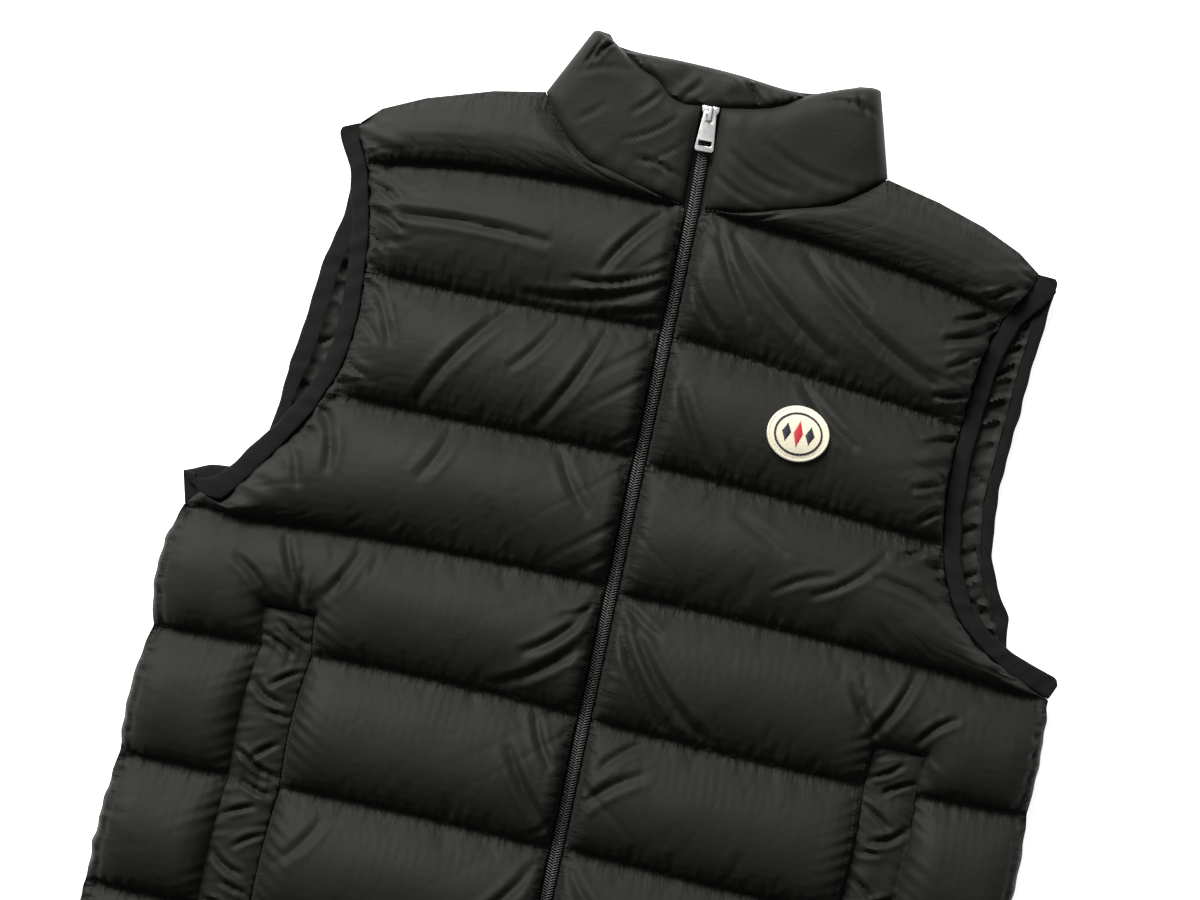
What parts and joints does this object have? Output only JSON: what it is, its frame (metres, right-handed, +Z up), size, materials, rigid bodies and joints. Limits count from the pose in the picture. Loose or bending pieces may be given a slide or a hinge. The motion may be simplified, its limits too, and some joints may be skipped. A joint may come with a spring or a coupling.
{
  "type": "puffer vest",
  "caption": "Sleeveless down-filled vest laid flat and zipped up, with a stand collar, quilted channels, taped armholes, side pockets and a chest badge.",
  "frame": {"origin": "under the middle of the vest's bounding box, on the surface it lies on", "axes": "+X towards the wearer's left across the vest, +Y from the hem to the collar, +Z up from the surface, out of the fronts"},
  "size_m": [0.5602, 0.7124, 0.039],
  "materials": {
    "shell_cloth": "satin charcoal nylon down-proof cloth, quilted over down",
    "binding_tape": "matt ribbed tape",
    "zip_tape": "matt woven zip tape",
    "zip_teeth": "satin black nylon coil",
    "zip_metal": "polished nickel-plated zinc",
    "badge_felt": null
  },
  "bodies": {
    "vest": {"back_panel": "shell_cloth", "front_right": "shell_cloth", "front_left": "shell_cloth", "collar": "shell_cloth", "pocket_welt_right": "shell_cloth", "pocket_welt_left": "shell_cloth", "binding_front_right": "binding_tape", "binding_front_left": "binding_tape", "binding_back_right": "binding_tape", "binding_back_left": "binding_tape", "zip_tape_right": "zip_tape", "zip_tape_left": "zip_tape", "zip_chain": "zip_teeth", "zip_box": "zip_metal", "zip_slider": "zip_metal", "badge": "badge_felt"},
    "pull": {"zip_pull": "zip_metal"}
  },
  "joints": [
    {"name": "pull_hinge", "type": "hinge", "parent": "vest", "child": "pull", "pos_m": [-0.00246, 0.32055, 0.0213], "axis": [-0.9994, -0.036, 0], "range_deg": [0, 170]}
  ]
}
